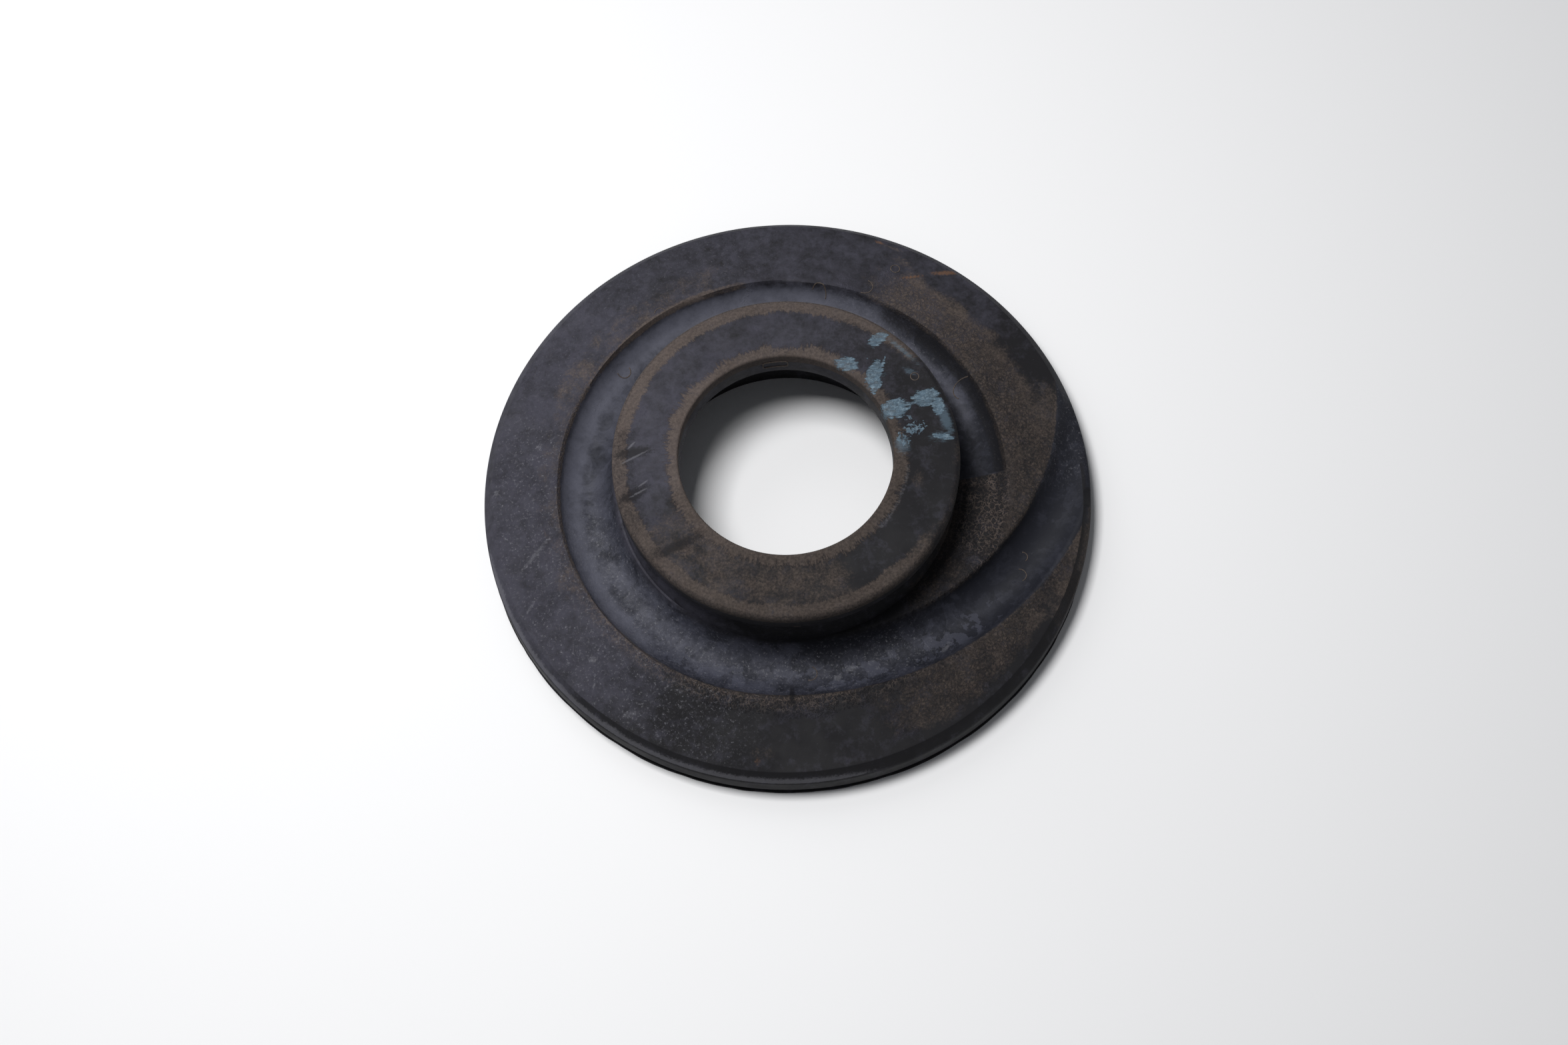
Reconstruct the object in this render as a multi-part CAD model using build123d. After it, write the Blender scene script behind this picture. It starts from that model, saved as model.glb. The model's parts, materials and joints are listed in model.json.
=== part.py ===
from build123d import *
import math
import os

# Coil-spring seat pad: one rubber moulding. A round flange stands on its flat underside, a hollow
# boss rises through the spring's end coil, and a spiral channel in the flange holds the coil's wire.
# Frame: millimetres, origin at the centre of the underside, +Z up along the spring's axis.
# Angles are in degrees from +X, turning towards +Y.

# Flange
RIM_R = 75.0                # widest part of the rim
RIM_TOP_Z = 7.1             # where the bevel starts on the rim's side
BEVEL_WIDTH = 2.2           # across the bevel, seen from above
FLANGE_EDGE_Z = 9.8         # top of the bevel
PLATEAU_Z = 13.3            # flange top beside the channel
RIM_ROUND = 1.0             # rounding at the foot of the bevel
RECESS_DEPTH = 0.6          # shadow groove above the mould's parting line
RECESS_TOP_Z = 2.5
FLASH_PROUD = 0.2           # parting-line lip beyond the rim
FLASH_HEIGHT = 0.5

# Channel for the end coil
WIRE_R = 6.75               # radius of the spring's wire
WIRE_CLEARANCE = 0.25
CHANNEL_FLOOR_Z = 7.5       # rubber left under the wire
CHANNEL_TUCK = 0.4          # how far the channel bites into the neck
WRAP_OFFSET = 1.2           # shift of the wrapped coil towards -X
WRAP_END_ANGLE = 264.0      # where the wire starts to leave the neck
EXIT_TURN = 103.0           # turn from there to where the wire's centre crosses the rim
SHOULDER = 0.4              # flat land between channel and flange slope
STOP_SKEW = 9.0             # slant of the stop step that the wire's cut end meets
STOP_DROP = 0.9             # how far the step's middle lies behind the X axis
RUN_PAST = 12.0             # extra turn, in degrees, by which the cutters overrun their ends

# Boss
NECK_R = 41.4               # where the coil's inside lies
NECK_WALL = 7.4             # rubber between the coil and the hollow underneath
WAIST_DEPTH = 1.6           # undercut between the coil and the collar
COLLAR_PROUD = 0.2          # collar beyond the neck
COLLAR_LIP = 5.2            # height of the collar's edge
COLLAR_DROP = 0.8           # fall of the collar's top from the bore to its edge
COLLAR_ROUND = 1.5
LIP_ROUND = 0.8
TOTAL_H = 29.7
BORE_R = 25.7
BORE_LENGTH = 8.0           # thickness of the collar at the bore
BORE_LEAD = 0.5             # rounding of the bore's two edges
HOLLOW_ROUND = 2.0
FOOT_ROUND = 0.4            # rounding of the hollow's mouth

# Worked out from the values above
CHANNEL_R = WIRE_R + WIRE_CLEARANCE
CHANNEL_Z = CHANNEL_FLOOR_Z + CHANNEL_R
WRAP_R = NECK_R + CHANNEL_R - CHANNEL_TUCK
PLATEAU_R = WRAP_R + CHANNEL_R + SHOULDER
FLANGE_R = RIM_R - BEVEL_WIDTH
HOLLOW_R = NECK_R - NECK_WALL
HOLLOW_Z = TOTAL_H - BORE_LENGTH
COLLAR_R = NECK_R + COLLAR_PROUD
COLLAR_EDGE_Z = TOTAL_H - COLLAR_DROP
LIP_Z = COLLAR_EDGE_Z - COLLAR_LIP


def corner(sketch, r, z):
    """The vertex of the profile nearest to a point (r, z)."""
    return sketch.vertices().sort_by_distance((r, z, 0))[0]


def body_profile():
    """Half section of the moulding, from the hollow's mouth round the rim and over the collar."""
    recess_r = RIM_R - RECESS_DEPTH
    flash_r = RIM_R + FLASH_PROUD
    with BuildSketch(Plane.XZ) as section:
        with BuildLine():
            Polyline(
                (HOLLOW_R, 0),
                (flash_r, 0),
                (flash_r, FLASH_HEIGHT),
                (recess_r, FLASH_HEIGHT),
                (recess_r, RECESS_TOP_Z),
                (RIM_R, RECESS_TOP_Z),
                (RIM_R, RIM_TOP_Z),
                (FLANGE_R, FLANGE_EDGE_Z),
                (PLATEAU_R, PLATEAU_Z),
                (NECK_R, PLATEAU_Z),
                (NECK_R, CHANNEL_Z),
            )
            ThreePointArc(
                (NECK_R, CHANNEL_Z),
                (NECK_R - WAIST_DEPTH, (CHANNEL_Z + LIP_Z) / 2),
                (COLLAR_R, LIP_Z),
            )
            Polyline(
                (COLLAR_R, LIP_Z),
                (COLLAR_R, COLLAR_EDGE_Z),
                (BORE_R, TOTAL_H),
                (BORE_R, HOLLOW_Z),
                (HOLLOW_R, HOLLOW_Z),
                (HOLLOW_R, 0),
            )
        make_face()
        fillet(corner(section, RIM_R, RIM_TOP_Z), RIM_ROUND)
        fillet(corner(section, COLLAR_R, COLLAR_EDGE_Z), COLLAR_ROUND)
        fillet(corner(section, COLLAR_R, LIP_Z), LIP_ROUND)
        fillet(corner(section, BORE_R, TOTAL_H), BORE_LEAD)
        fillet(corner(section, BORE_R, HOLLOW_Z), BORE_LEAD)
        fillet(corner(section, HOLLOW_R, HOLLOW_Z), HOLLOW_ROUND)
        fillet(corner(section, HOLLOW_R, 0), FOOT_ROUND)
    return section.sketch


def turned_wire(centre_x, centre_y, radius, start_angle, turn):
    """A bent round bar as thick as the channel: part of a ring about a vertical axis."""
    start = Plane(
        origin=(centre_x, centre_y, 0),
        x_dir=(math.cos(math.radians(start_angle)), math.sin(math.radians(start_angle)), 0),
        z_dir=(math.sin(math.radians(start_angle)), -math.cos(math.radians(start_angle)), 0),
    )
    section = start * Pos(radius, CHANNEL_Z) * Circle(CHANNEL_R)
    return revolve(section, Axis((centre_x, centre_y, 0), (0, 0, 1)), turn)


def stop_block():
    """What the wire's cut end butts against: it trims the wrapped part of the channel."""
    depth = 4 * CHANNEL_R
    block = Box(depth, depth, 4 * CHANNEL_R, align=(Align.CENTER, Align.MAX, Align.CENTER))
    middle = WRAP_R - WRAP_OFFSET
    return Pos(middle, -STOP_DROP, CHANNEL_Z) * Rot(0, 0, STOP_SKEW) * block


def channel():
    """The wrapped arc round the neck, then a wider arc that leaves it and crosses the rim."""
    wrap = turned_wire(-WRAP_OFFSET, 0, WRAP_R, -RUN_PAST, WRAP_END_ANGLE + RUN_PAST)
    wrap -= stop_block()
    # The second arc touches the first at WRAP_END_ANGLE and passes the rim after EXIT_TURN.
    exit_cos = math.cos(math.radians(EXIT_TURN))
    shift = (RIM_R**2 - WRAP_R**2) / (2 * (WRAP_R - RIM_R * exit_cos))
    leave_x = -WRAP_OFFSET - shift * math.cos(math.radians(WRAP_END_ANGLE))
    leave_y = -shift * math.sin(math.radians(WRAP_END_ANGLE))
    leave = turned_wire(leave_x, leave_y, WRAP_R + shift, WRAP_END_ANGLE, EXIT_TURN + RUN_PAST)
    return wrap + leave


def spring_seat_pad():
    """The whole moulding."""
    body = revolve(body_profile(), Axis.Z)
    pad = body - channel()
    return pad


os.makedirs("parts", exist_ok=True)
pad = spring_seat_pad()
pad.label = "spring_seat_pad"
export_step(pad, "parts/spring_seat_pad.step")
print("volume", round(pad.volume), "mm3; wrap radius", round(WRAP_R, 2))
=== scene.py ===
# %% [markdown]
# # A rubber spring seat pad
# This lesson builds the looks of one rubber moulding: the pad that sits between a coil spring and its
# seat. The imported CAD model is loaded first and stays as the fixed frame. Everything is in metres.
# The real thing is moulded in one piece, so there is one big piece to model. The rest of the work is its
# skin: brown bloom, crazed rubber, dust, marking paint, and the rings that the mould's vents leave. Some
# light and shade is painted into its colour too: a sheen, highlights, and shade.

# %% Load the frame
import json
import math
from functools import partial

import bpy
import numpy as np
from mathutils import Matrix, Vector, noise


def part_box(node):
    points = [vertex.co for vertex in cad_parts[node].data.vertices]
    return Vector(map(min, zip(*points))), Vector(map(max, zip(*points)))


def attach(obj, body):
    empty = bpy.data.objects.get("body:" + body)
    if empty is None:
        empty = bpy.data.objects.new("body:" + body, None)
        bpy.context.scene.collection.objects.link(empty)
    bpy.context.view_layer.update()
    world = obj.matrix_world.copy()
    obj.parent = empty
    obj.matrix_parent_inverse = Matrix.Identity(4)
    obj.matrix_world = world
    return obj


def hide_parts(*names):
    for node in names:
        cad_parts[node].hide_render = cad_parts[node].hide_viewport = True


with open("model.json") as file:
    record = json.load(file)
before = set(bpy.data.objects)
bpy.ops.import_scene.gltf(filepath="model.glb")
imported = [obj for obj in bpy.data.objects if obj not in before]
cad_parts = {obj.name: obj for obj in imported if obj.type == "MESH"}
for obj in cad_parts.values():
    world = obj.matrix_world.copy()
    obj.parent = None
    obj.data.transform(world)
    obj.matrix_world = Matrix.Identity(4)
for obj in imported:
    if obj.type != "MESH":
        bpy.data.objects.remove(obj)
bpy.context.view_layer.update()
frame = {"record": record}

MM = 0.001
pad_low, pad_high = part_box("spring_seat_pad")
print("CAD box in mm:", [round(v / MM, 2) for v in (*pad_low, *pad_high)])

# %% [markdown]
# ## Sizes
# The moulding's section is drawn again here, in millimetres, because its edges get the small roundings
# that a mould leaves. The overall radius and height come from the frame, so the piece can't outgrow it.
# Angles are in degrees from +X, turning towards +Y.

# %% Sizes of the section and the channel
FLASH_WIDTH = 0.2
FLASH_CLEARANCE = 0.01
FLASH_R = pad_high.x / MM - FLASH_CLEARANCE
RIM_R = pad_high.x / MM - FLASH_WIDTH
RECESS_R = RIM_R - 0.6
RECESS_TOP_Z = 2.5
TOTAL_H = pad_high.z / MM
BEVEL_WIDTH = 2.2
BEVEL_TOP = (RIM_R - BEVEL_WIDTH, 9.8)
BEVEL_FOOT = (RIM_R, 7.1)
PLATEAU = (55.4, 13.3)
NECK_R = 41.4
WAIST_R = 39.8
COLLAR_R = 41.6
COLLAR_DROP = 0.8
COLLAR_LIP = 5.2
COLLAR_EDGE_Z = TOTAL_H - COLLAR_DROP
LIP_Z = COLLAR_EDGE_Z - COLLAR_LIP
BORE_R = frame["record"]["mounts"][0]["dims"]["r_mm"]
HOLLOW_R = 34.0
HOLLOW_Z = 21.7

CHANNEL_R = 7.0
CHANNEL_Z = 14.5
WRAP_R = 48.0
WRAP_SHIFT = -1.2
LEAVE_ANGLE = 264.0
EXIT_TURN = 103.0
STOP_X = WRAP_R + WRAP_SHIFT
STOP_Y = -0.9
STOP_SKEW = 9.0
print("rim radius", round(RIM_R, 2), "mm, height", round(TOTAL_H, 2), "mm")

# %% [markdown]
# ## The camera
# The camera looks down steeply, as a person does at something on a table. It is set from an elevation,
# a distance and a target, and turned a little about its own line of sight. The lens is a plain 50 mm.

# %% Camera
CAMERA_ELEVATION = 68.0
CAMERA_DISTANCE = 543.1
CAMERA_ROLL = 2.5
LENS = 50.0
SENSOR = 36.0
TARGET = Vector((-1.13, -5.75, 0.0))


def add_camera():
    """A camera at that elevation and distance, turned by the roll."""
    rise = math.radians(CAMERA_ELEVATION)
    roll = math.radians(CAMERA_ROLL)
    back = Vector((0.0, -math.cos(rise), math.sin(rise)))
    flat_right = Vector((1.0, 0.0, 0.0))
    flat_up = back.cross(flat_right)
    right = flat_right * math.cos(roll) - flat_up * math.sin(roll)
    up = flat_right * math.sin(roll) + flat_up * math.cos(roll)
    data = bpy.data.cameras.new("camera")
    data.lens = LENS
    data.sensor_width = SENSOR
    camera = bpy.data.objects.new("camera", data)
    turn = Matrix((right, up, back)).transposed().to_4x4()
    camera.matrix_world = Matrix.Translation((TARGET + back * CAMERA_DISTANCE) * MM) @ turn
    bpy.context.scene.collection.objects.link(camera)
    bpy.context.scene.camera = camera
    return camera


camera = add_camera()
print("camera at", [round(v, 3) for v in camera.matrix_world.translation])

# %% [markdown]
# ## Drawing the section
# A turned shape starts as a half section. It could be a curve with a screw modifier. Here a single
# vertex is extruded from point to point, because each point then sits exactly where it is put. Corners
# are rounded by a small arc, and long runs are cut into short steps, so that they can be shaped later.

# %% Section points
RECESS_ROUND = 0.35
RIM_ROUND = 1.6
BEVEL_ROUND = 0.35
LIP_ROUND = 0.8
COLLAR_ROUND = 1.5
BORE_ROUND = 0.6
BORE_FOOT_ROUND = 0.5
HOLLOW_ROUND = 2.0
FOOT_ROUND = 0.4


def rounded(before, corner, after, radius, steps):
    """Points of an arc that rounds a corner between two straight runs."""
    a = (Vector(before) - Vector(corner)).normalized()
    b = (Vector(after) - Vector(corner)).normalized()
    half = a.angle(b) / 2
    reach = radius / math.tan(half)
    centre = Vector(corner) + (a + b).normalized() * radius / math.sin(half)
    start = Vector(corner) + a * reach - centre
    end = Vector(corner) + b * reach - centre
    turn = start.angle_signed(end)
    points = []
    for k in range(steps + 1):
        points.append(centre + Matrix.Rotation(-turn * k / steps, 2) @ start)
    return points


def run(start, end, steps):
    """Evenly spaced points from start up to, but not including, end."""
    a, b = Vector(start), Vector(end)
    return [a.lerp(b, k / steps) for k in range(steps)]


def waist(steps):
    """The undercut between the coil and the collar, as a shallow hollow curve."""
    low, high = Vector((NECK_R, CHANNEL_Z)), Vector((COLLAR_R, LIP_Z))
    depth = NECK_R - WAIST_R
    points = []
    for k in range(1, steps):
        t = k / steps
        points.append(low.lerp(high, t) - Vector((depth * math.sin(math.pi * t), 0)))
    return points


def section():
    """The closed half section, in millimetres: foot, rim, flange, neck, collar, bore, hollow."""
    foot = (HOLLOW_R, 0.0)
    flash_foot = (FLASH_R - 0.3, 0.0)
    flash_edge = (FLASH_R, 0.06)
    flash_top = (FLASH_R - 0.1, 0.42)
    recess_foot = (RECESS_R, 0.6)
    recess_top = (RIM_R, RECESS_TOP_Z)
    rim_middle = (RIM_R, 5.0)
    lip = (COLLAR_R, LIP_Z)
    lip_inside = (COLLAR_R - 1.0, LIP_Z - 0.9)
    collar_edge = (COLLAR_R, COLLAR_EDGE_Z)
    bore_top = (BORE_R, TOTAL_H + 0.03)
    bore_foot = (BORE_R, HOLLOW_Z)
    ceiling = (HOLLOW_R, HOLLOW_Z)
    points = run((HOLLOW_R + 0.5, 0.0), flash_foot, 5)
    points += run(flash_foot, flash_edge, 1)
    points += run(flash_edge, flash_top, 1)
    points += run(flash_top, recess_foot, 2)
    points += run(recess_foot, (RECESS_R, 2.2), 2)
    points += rounded((RECESS_R, 1.0), recess_top, rim_middle, RECESS_ROUND, 3)
    points += rounded(rim_middle, BEVEL_FOOT, BEVEL_TOP, RIM_ROUND, 5)
    points += rounded(BEVEL_FOOT, BEVEL_TOP, PLATEAU, BEVEL_ROUND, 3)
    points += run((BEVEL_TOP[0] - 0.6, BEVEL_TOP[1] + 0.12), PLATEAU, 34)
    points += run(PLATEAU, (NECK_R, PLATEAU[1]), 28)
    points += [Vector((NECK_R, PLATEAU[1])), Vector((NECK_R, CHANNEL_Z))]
    points += waist(9)
    points += rounded(lip_inside, lip, collar_edge, LIP_ROUND, 4)
    points += rounded(lip, collar_edge, bore_top, COLLAR_ROUND, 7)
    points += run((COLLAR_R - 1.9, COLLAR_EDGE_Z + 0.1), (BORE_R + 1.1, TOTAL_H - 0.02), 28)
    points += rounded(collar_edge, bore_top, bore_foot, BORE_ROUND, 5)
    points += rounded(bore_top, bore_foot, ceiling, BORE_FOOT_ROUND, 4)
    points += rounded(bore_foot, ceiling, foot, HOLLOW_ROUND, 5)
    points += rounded(ceiling, foot, (HOLLOW_R + 4.0, 0.0), FOOT_ROUND, 3)
    return points


profile = section()
print(len(profile), "points in the section")

# %% [markdown]
# ## Spinning it round
# Spin copies the section about the spring's axis and joins the copies with faces. One spin of a full
# turn slows down as the mesh grows, so a short one makes a slice of the ring first, and a second one
# copies the slice round. Doubles are merged where the slices meet, and the normals are recalculated
# afterwards to point outwards.

# %% Draw and spin
AROUND = 540
SLICES = 27
MERGE_WITHIN = 0.01


def select_nothing():
    """Nothing stays selected, so that an operator acts only on what comes next."""
    bpy.ops.object.select_all(action="DESELECT")


def edit_all():
    """Edit mode, with the whole mesh selected."""
    bpy.ops.object.mode_set(mode="EDIT")
    bpy.ops.mesh.select_all(action="SELECT")


def settle():
    """Leaves edit mode and puts the object's place and size into its mesh."""
    bpy.ops.object.mode_set(mode="OBJECT")
    bpy.ops.object.transform_apply(location=True, rotation=True, scale=True)


def draw_chain(name, points):
    """A chain of edges through (r, z) points, extruded one vertex at a time."""
    select_nothing()
    first = (points[0][0] * MM, 0.0, points[0][1] * MM)
    bpy.ops.mesh.primitive_plane_add(size=MM, location=first)
    chain = bpy.context.active_object
    chain.name = chain.data.name = name
    edit_all()
    bpy.ops.mesh.merge(type="CENTER")
    for here, there in zip(points, points[1:] + points[:1]):
        step = ((there[0] - here[0]) * MM, 0.0, (there[1] - here[1]) * MM)
        bpy.ops.mesh.extrude_region_move(TRANSFORM_OT_translate={"value": step})
    settle()
    return chain


def spin_round(chain, steps, slices):
    """Spins the chain through one slice, copies the slice round, and closes the seams."""
    slice_angle = 2 * math.pi / slices
    edit_all()
    bpy.ops.mesh.spin(steps=steps // slices, angle=slice_angle, center=(0, 0, 0), axis=(0, 0, 1))
    bpy.ops.mesh.select_all(action="SELECT")
    bpy.ops.mesh.spin(
        steps=slices - 1,
        angle=2 * math.pi - slice_angle,
        dupli=True,
        center=(0, 0, 0),
        axis=(0, 0, 1),
    )
    bpy.ops.mesh.select_all(action="SELECT")
    bpy.ops.mesh.remove_doubles(threshold=MERGE_WITHIN * MM)
    bpy.ops.mesh.normals_make_consistent(inside=False)
    bpy.ops.object.mode_set(mode="OBJECT")
    return chain


pad = spin_round(draw_chain("spring_seat_pad_moulding", profile), AROUND, SLICES)
print(len(pad.data.vertices), "vertices,", len(pad.data.polygons), "faces")

# %% [markdown]
# ## Pressing the channel
# The wire's channel could be cut with a Boolean modifier. That leaves knife edges and long thin faces,
# and rubber has neither. So the flange's rings, which are close together, are pressed down instead, as a
# mould's core does it: each point goes to the lower of two heights, the flange's and the channel's, and
# where the two meet the change is rounded.
# The channel follows the wire: round the neck on one arc, then away from it on a wider arc that touches
# the first and crosses the rim. The cut end of the wire stops at a step, so the grid is turned a little
# there, and one of its lines runs along the step.

# %% Channel helpers
LIP_SOFTNESS = 0.32
WORN_LIP = 0.5
WORN_AT = 85.0
RUN_PAST = 12.0  # degrees by which the wrapped arc starts before angle 0
LEAVE_TURN = 150.0
WALL_RISE = 6.0
AWAY = 99.0  # stands for the distance from an arc that doesn't run there
STOP_REACH = 15.0
STEP_SOFTNESS = 0.35
shift = (RIM_R**2 - WRAP_R**2) / (2 * (WRAP_R - RIM_R * math.cos(math.radians(EXIT_TURN))))
leave_centre = (
    WRAP_SHIFT - shift * math.cos(math.radians(LEAVE_ANGLE)),
    -shift * math.sin(math.radians(LEAVE_ANGLE)),
)


def ramp(low, high, value):
    """0 below low, 1 above high, and an S-curve between."""
    t = np.clip((value - low) / (high - low), 0.0, 1.0)
    return t * t * (3 - 2 * t)


def angle_about(x, y, centre, start):
    """Angle of (x, y) about a centre, counted in degrees from start up to start + 360."""
    angle = np.degrees(np.arctan2(y - centre[1], x - centre[0]))
    return (angle - start) % 360.0 + start


def stop_line(x, y):
    """Distance in front of the stop step, in millimetres; behind it is negative."""
    skew = math.radians(STOP_SKEW)
    return (y - STOP_Y) * math.cos(skew) - (x - STOP_X) * math.sin(skew)


def past_stop(x, y):
    """1 in front of the stop step and 0 behind it, changing over a short width."""
    share = ramp(-0.05, STEP_SOFTNESS, stop_line(x, y))
    return np.where((x > 0) & (np.abs(y) < STOP_REACH), share, 1.0)


def from_wire(x, y):
    """Distance from the wire's centre line on each of the two arcs, seen from above."""
    wrap = np.hypot(x - WRAP_SHIFT, y) - WRAP_R
    wrap_angle = angle_about(x, y, (WRAP_SHIFT, 0.0), -RUN_PAST)
    wrap = np.where(wrap_angle <= LEAVE_ANGLE, wrap, AWAY)
    leave = np.hypot(x - leave_centre[0], y - leave_centre[1]) - (WRAP_R + shift)
    leave_angle = angle_about(x, y, leave_centre, LEAVE_ANGLE - 60.0)
    on_leave = (leave_angle >= LEAVE_ANGLE) & (leave_angle < LEAVE_ANGLE + LEAVE_TURN)
    leave = np.where(on_leave, leave, AWAY)
    return wrap, leave


def channel_height(distance):
    """Height of the channel's wall at a distance from the wire's centre line."""
    inside = np.clip(np.abs(distance), 0.0, CHANNEL_R * 0.999)
    wall = CHANNEL_Z - np.sqrt(CHANNEL_R**2 - inside**2)
    return wall + WALL_RISE * (np.abs(distance) - inside)


def lip_softness(x, y):
    """How round the channel's lip is: worn and rolled over at the back, crisper elsewhere."""
    from_back = np.abs(np.degrees(np.arctan2(y, x)) - WORN_AT)
    return LIP_SOFTNESS + WORN_LIP * (1 - ramp(30.0, 65.0, from_back))


def lower_of(a, b, softness):
    """The lower of two heights, rounded where they meet."""
    return -softness * np.logaddexp(-a / softness, -b / softness)


print("the wire leaves the neck on an arc of", round(WRAP_R + shift, 1), "mm")

# %% Read and write vertices


def read_points(obj):
    """All vertices of a mesh as an array in millimetres."""
    points = np.empty(len(obj.data.vertices) * 3)
    obj.data.vertices.foreach_get("co", points)
    return points.reshape(-1, 3) / MM


def write_points(obj, points):
    """Puts an array of millimetres back into the mesh."""
    obj.data.vertices.foreach_set("co", (points * MM).ravel())
    obj.data.update()


# %% Turn the grid along the stop step
TURN_FADE = (1.0, 16.0)
RADIUS_FADE = (56.0, 66.0)
HEIGHT_FADE = (14.4, 19.0)


def align_with_stop(points):
    """Slides the flange's points round the axis, so that the grid line at angle 0 follows the step."""
    x, y, z = points.T
    r = np.hypot(x, y)
    angle = np.degrees(np.arctan2(y, x))
    inside = np.clip(r, NECK_R, 54.0)
    step_y = STOP_Y + math.tan(math.radians(STOP_SKEW)) * (inside - STOP_X)
    wanted = np.degrees(np.arcsin(step_y / inside))
    near = 1 - ramp(*TURN_FADE, np.abs(angle))
    near *= 1 - ramp(*RADIUS_FADE, r)
    near *= (r > WAIST_R - 0.2) * (z > 7.0) * (1 - ramp(*HEIGHT_FADE, z))
    turned = np.radians(angle + wanted * near)
    points[:, 0] = r * np.cos(turned)
    points[:, 1] = r * np.sin(turned)
    return points


spun = read_points(pad)
points = align_with_stop(spun.copy())
print("grid moved by up to", round(float(np.abs(points - spun).max()), 2), "mm along the step")

# %% Press the channel into the flange


def pressed_height(x, y, z, wrap, leave, in_front):
    """Height of the flange after both arcs of the channel are pressed into it."""
    softness = lip_softness(x, y)
    pressed = lower_of(z, channel_height(wrap), softness)
    lowered = z + (pressed - z) * in_front
    return lower_of(lowered, channel_height(leave), softness)


def press_channel(points):
    """Lowers the flange into the channel, and hollows the neck where the wire lies against it."""
    x, y, z = points.T.copy()
    r = np.hypot(x, y)
    wrap, leave = from_wire(x, y)
    in_front = past_stop(x, y)
    top = (z > BEVEL_FOOT[1] - 0.6) & (z < PLATEAU[1] + 0.2) & (r > NECK_R - 0.05)
    lowered = pressed_height(x, y, z, wrap, leave, in_front)
    points[:, 2] = np.where(top, np.minimum(z, lowered), z)
    neck = ~top & (np.abs(r - NECK_R) < 2.5) & (np.abs(z - CHANNEL_Z) < CHANNEL_R * 0.9)
    for centre_x, centre_y, radius, here in (
        (WRAP_SHIFT, 0.0, WRAP_R, wrap),
        (*leave_centre, WRAP_R + shift, leave),
    ):
        free = np.sqrt(np.clip(CHANNEL_R**2 - (z - CHANNEL_Z) ** 2, 0.0, None))
        push = np.where(neck & (np.abs(here) < 50.0), np.clip(here + free, 0.0, None), 0.0) * in_front
        out_x, out_y = x - centre_x, y - centre_y
        out_r = np.hypot(out_x, out_y)
        points[:, 0] -= push * out_x / out_r
        points[:, 1] -= push * out_y / out_r
    return points


points = press_channel(points)
print("lowest point of the channel:", round(float(channel_height(np.zeros(1))[0]), 2), "mm")

# %% [markdown]
# ## A surface that isn't perfect
# Rubber shrinks unevenly as it cures, so no face is quite flat, and light runs over it in soft waves.
# The points are moved by a few hundredths of a millimetre with smooth noise. The thin lip of flash at
# the mould's parting line is torn by hand in the factory, so its edge wanders in and out.

# %% Waves and torn flash
WAVE_HEIGHT = 0.05
WAVE_LENGTH = 9.0
WAVE_FOOT_Z = 2.0
FLASH_TEAR = 0.2
TEAR_LENGTH = 8.0


def roughen(points):
    """Soft waves on every face but the underside, and an uneven lip of flash."""
    for i, (x, y, z) in enumerate(points):
        r = math.hypot(x, y)
        if z > WAVE_FOOT_Z:
            place = Vector((x, y, z)) / WAVE_LENGTH
            points[i, 2] = z - WAVE_HEIGHT * (1 + noise.noise(place)) * min(1.0, (z - WAVE_FOOT_Z) / 4.0)
        elif r > RIM_R - 0.3:
            place = Vector((x / TEAR_LENGTH, y / TEAR_LENGTH, 3.0))
            tear = FLASH_TEAR * max(0.0, 0.4 + noise.noise(place) + 0.4 * noise.noise(place * 3.1))
            points[i, 0] -= tear * x / r
            points[i, 1] -= tear * y / r
    return points


points = roughen(points)
write_points(pad, points)
select_nothing()
pad.select_set(True)
bpy.context.view_layer.objects.active = pad
bpy.ops.object.shade_smooth_by_angle(angle=math.radians(50))
print("height now", round(float(points[:, 2].max()), 2), "mm")

# %% [markdown]
# ## Where each finish lies
# The skin changes from place to place, so the piece carries painted masks, as weight painting makes them.
# Each mask is a float attribute. A dab adds a soft oval at a radius and an angle, and the material later
# breaks the oval's edge with noise. That keeps the layout here, and the fine detail in the shader.

# %% Masks
x, y, z = points.T
radius = np.hypot(x, y)
bearing = np.degrees(np.arctan2(y, x)) % 360.0
wrap, leave = from_wire(x, y)
behind_stop = (x > 0) & (stop_line(x, y) <= 0)
to_wire = np.minimum(np.abs(np.where(behind_stop, AWAY, wrap)), np.abs(leave))


def store_mask(name, values):
    """Writes one float per vertex under a name that the material reads."""
    layer = pad.data.attributes.new(name, "FLOAT", "POINT")
    layer.data.foreach_set("value", np.clip(values, 0.0, 1.0).astype(np.float32))


def dab(at_r, at_angle, length, width, turn=0.0, strength=1.0, crisp=False):
    """A soft oval: half length along the tangent plus turn, half width across, in millimetres."""
    a = math.radians(at_angle)
    along = math.radians(at_angle + 90.0 + turn)
    dx, dy = x - at_r * math.cos(a), y - at_r * math.sin(a)
    u = (dx * math.cos(along) + dy * math.sin(along)) / length
    v = (dy * math.cos(along) - dx * math.sin(along)) / width
    spread = u * u + v * v
    return strength * (1 / (1 + spread * spread) if crisp else np.exp(-spread))


def most_of(*layers):
    """The strongest of several dabs at each point."""
    return np.maximum.reduce(layers)


def dabs(*rows, crisp=False):
    """The strongest of several dabs, from rows of their values."""
    return most_of(*[dab(*row, crisp=crisp) for row in rows])


def sector(start, end, soft=12.0):
    """1 between two bearings, falling off softly beyond them."""
    middle = (start + end) / 2
    half = (end - start) / 2
    off = np.abs((bearing - middle + 180.0) % 360.0 - 180.0)
    return 1 - ramp(half, half + soft, off)


def band(inner, outer, soft=1.0):
    """1 between two radii, falling off softly beyond them."""
    return ramp(inner - soft, inner, radius) * (1 - ramp(outer, outer + soft, radius))


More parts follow.
